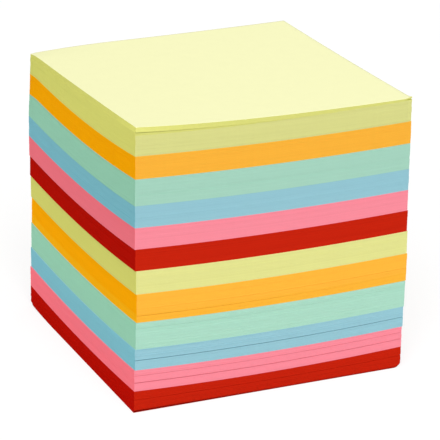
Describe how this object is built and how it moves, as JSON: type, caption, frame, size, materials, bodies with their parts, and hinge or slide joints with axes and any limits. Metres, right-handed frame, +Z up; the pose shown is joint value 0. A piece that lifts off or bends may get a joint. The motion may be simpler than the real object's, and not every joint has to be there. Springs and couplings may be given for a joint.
{
  "type": "memo cube",
  "caption": "Square-cut cube of loose coloured note sheets, stacked in packs of yellow, orange, mint, blue, pink and red.",
  "frame": {"origin": "middle of the underside, where the block rests on the desk", "axes": "+Z up through the stack of sheets; -Y is the front cut face, -X the left cut face"},
  "size_m": [0.0907, 0.0903, 0.09],
  "materials": {
    "yellow_paper": "matt uncoated",
    "orange_paper": "matt uncoated",
    "mint_paper": "matt uncoated",
    "blue_paper": "matt uncoated",
    "pink_paper": "matt uncoated",
    "red_paper": "matt uncoated"
  },
  "bodies": {
    "root": {"upper_yellow_pack": "yellow_paper", "upper_orange_pack": "orange_paper", "upper_mint_pack": "mint_paper", "upper_blue_pack": "blue_paper", "upper_pink_pack": "pink_paper", "upper_red_pack": "red_paper", "lower_yellow_pack": "yellow_paper", "lower_orange_pack": "orange_paper", "lower_mint_pack": "mint_paper", "lower_blue_pack": "blue_paper", "lower_pink_pack": "pink_paper", "lower_red_pack": "red_paper"}
  },
  "joints": []
}
